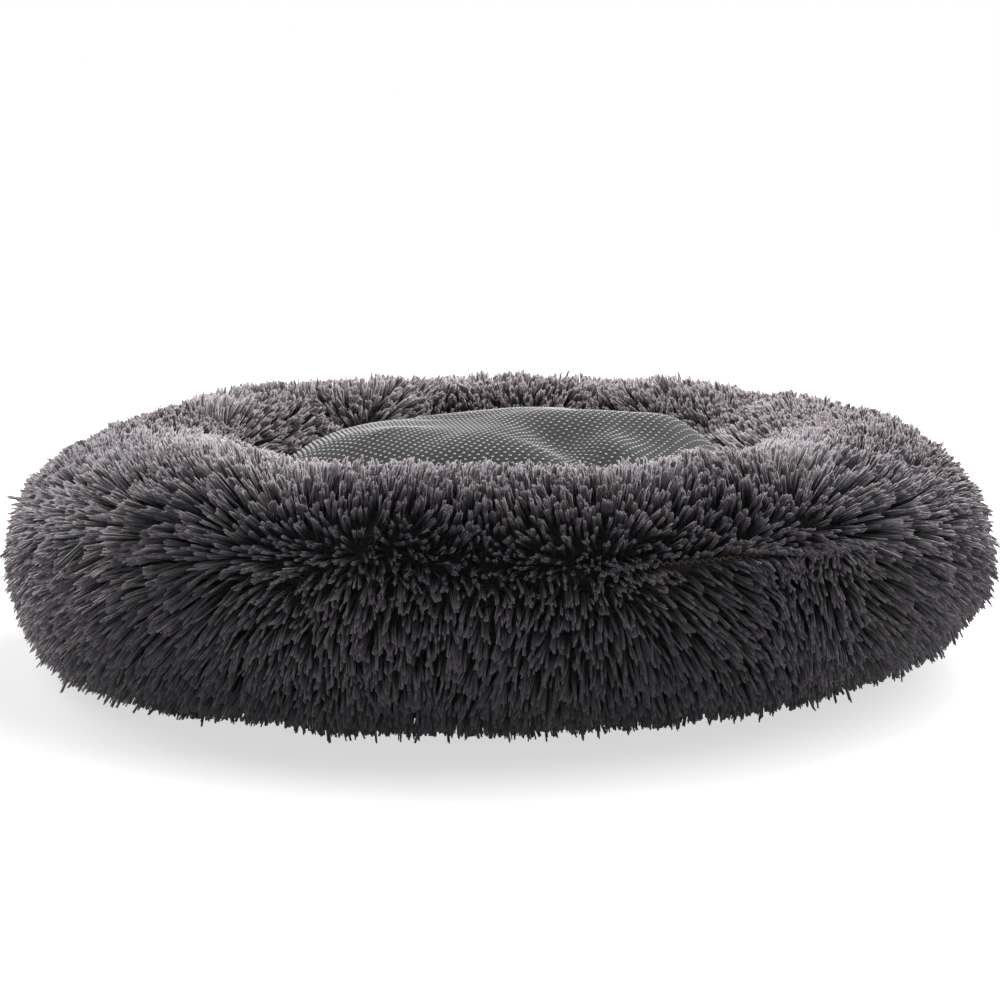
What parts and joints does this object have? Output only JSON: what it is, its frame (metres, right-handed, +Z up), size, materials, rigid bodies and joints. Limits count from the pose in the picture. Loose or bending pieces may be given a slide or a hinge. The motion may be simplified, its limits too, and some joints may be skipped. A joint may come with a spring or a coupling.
{
  "type": "round dog bed",
  "caption": "Round plush bolster bed for a dog or cat, shown upside down: a soft fur ring round a filled pad with a dotted non-slip base cloth.",
  "frame": {"origin": "middle of the footprint, on the surface that the bed lies on", "axes": "+Z up, out of the base cloth, because the bed is stored upside down as it lies in the picture; the nest opens to -Z; the filling slit, sewn up last, is on the -Y side"},
  "size_m": [0.7032, 0.6968, 0.1732],
  "materials": {
    "long_pile_fur": "long soft pile, dark at the root and paler at the tips",
    "non_slip_cloth": "woven cloth with small pale grip dots",
    "fibre_fill": "loose white fibre",
    "thread": "spun sewing thread"
  },
  "bodies": {
    "root": {"base_fur_ring": "long_pile_fur", "nest_fur_ring": "long_pile_fur", "nest_floor": "long_pile_fur", "base_cloth": "non_slip_cloth", "bolster_fill": "fibre_fill", "pad_fill": "fibre_fill", "outer_overlock": "thread", "inner_overlock": "thread", "closing_stitch": "thread"}
  },
  "joints": []
}
